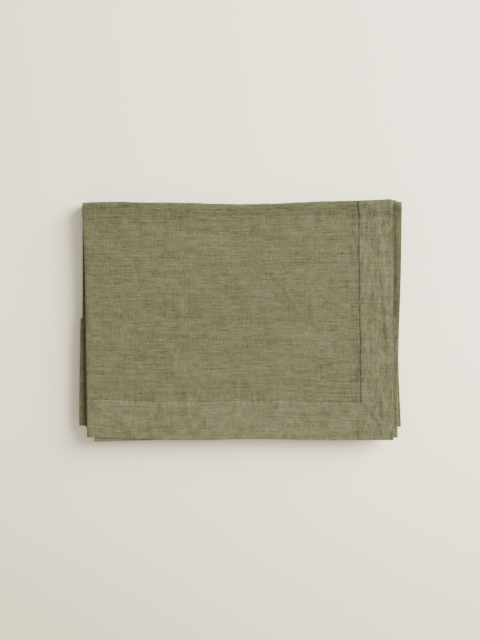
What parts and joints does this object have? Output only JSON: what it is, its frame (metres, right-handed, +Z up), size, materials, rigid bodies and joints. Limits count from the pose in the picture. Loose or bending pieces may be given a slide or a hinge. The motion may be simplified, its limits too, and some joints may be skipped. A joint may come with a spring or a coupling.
{
  "type": "tablecloth",
  "caption": "Washed sage linen tablecloth with mitred hems, folded into a flat packet that opens at its back folds.",
  "frame": {"origin": "under the middle of the folded packet, on the surface it lies on", "axes": "+X along the packet's long side towards the side hems, +Y towards the closed back folds, +Z up"},
  "size_m": [0.443, 0.3346, 0.0299],
  "materials": {
    "linen": "matt washed plain weave with slubs",
    "hem_linen": "matt doubled linen, a little lighter than the field",
    "thread": "matt sewing thread, darker and browner than the cloth"
  },
  "bodies": {
    "lower_half": {"panel_2": "linen", "side_hem_a_2": "hem_linen", "side_stitching_a_2": "thread", "side_hem_b_2": "hem_linen", "side_stitching_b_2": "thread", "panel_7": "linen", "side_hem_a_7": "hem_linen", "side_stitching_a_7": "thread", "side_hem_b_7": "hem_linen", "side_stitching_b_7": "thread", "panel_6": "linen", "side_hem_a_6": "hem_linen", "side_stitching_a_6": "thread", "side_hem_b_6": "hem_linen", "side_stitching_b_6": "thread", "panel_3": "linen", "side_hem_a_3": "hem_linen", "side_stitching_a_3": "thread", "side_hem_b_3": "hem_linen", "side_stitching_b_3": "thread", "fold_2_3": "linen", "fold_6_7": "linen", "fold_1_2": "linen", "fold_3_4": "linen", "fold_5_6": "linen", "fold_7_8": "linen"},
    "upper_half": {"panel_4": "linen", "side_hem_a_4": "hem_linen", "side_stitching_a_4": "thread", "side_hem_b_4": "hem_linen", "side_stitching_b_4": "thread", "panel_5": "linen", "side_hem_a_5": "hem_linen", "side_stitching_a_5": "thread", "side_hem_b_5": "hem_linen", "side_stitching_b_5": "thread", "panel_8": "linen", "side_hem_a_8": "hem_linen", "side_stitching_a_8": "thread", "side_hem_b_8": "hem_linen", "side_stitching_b_8": "thread", "end_hem_8": "hem_linen", "end_stitching_8": "thread", "mitre_stitching_a_8": "thread", "mitre_stitching_b_8": "thread", "panel_1": "linen", "side_hem_a_1": "hem_linen", "side_stitching_a_1": "thread", "side_hem_b_1": "hem_linen", "side_stitching_b_1": "thread", "end_hem_1": "hem_linen", "end_stitching_1": "thread", "mitre_stitching_a_1": "thread", "mitre_stitching_b_1": "thread", "fold_4_5": "linen"}
  },
  "joints": [
    {"name": "open_back_fold", "type": "hinge", "parent": "lower_half", "child": "upper_half", "pos_m": [0, 0.1589, 0.01493], "axis": [-1, 0, 0], "range_deg": [0, 180], "deforming": ["fold_1_2", "fold_3_4", "fold_5_6", "fold_7_8"]}
  ]
}
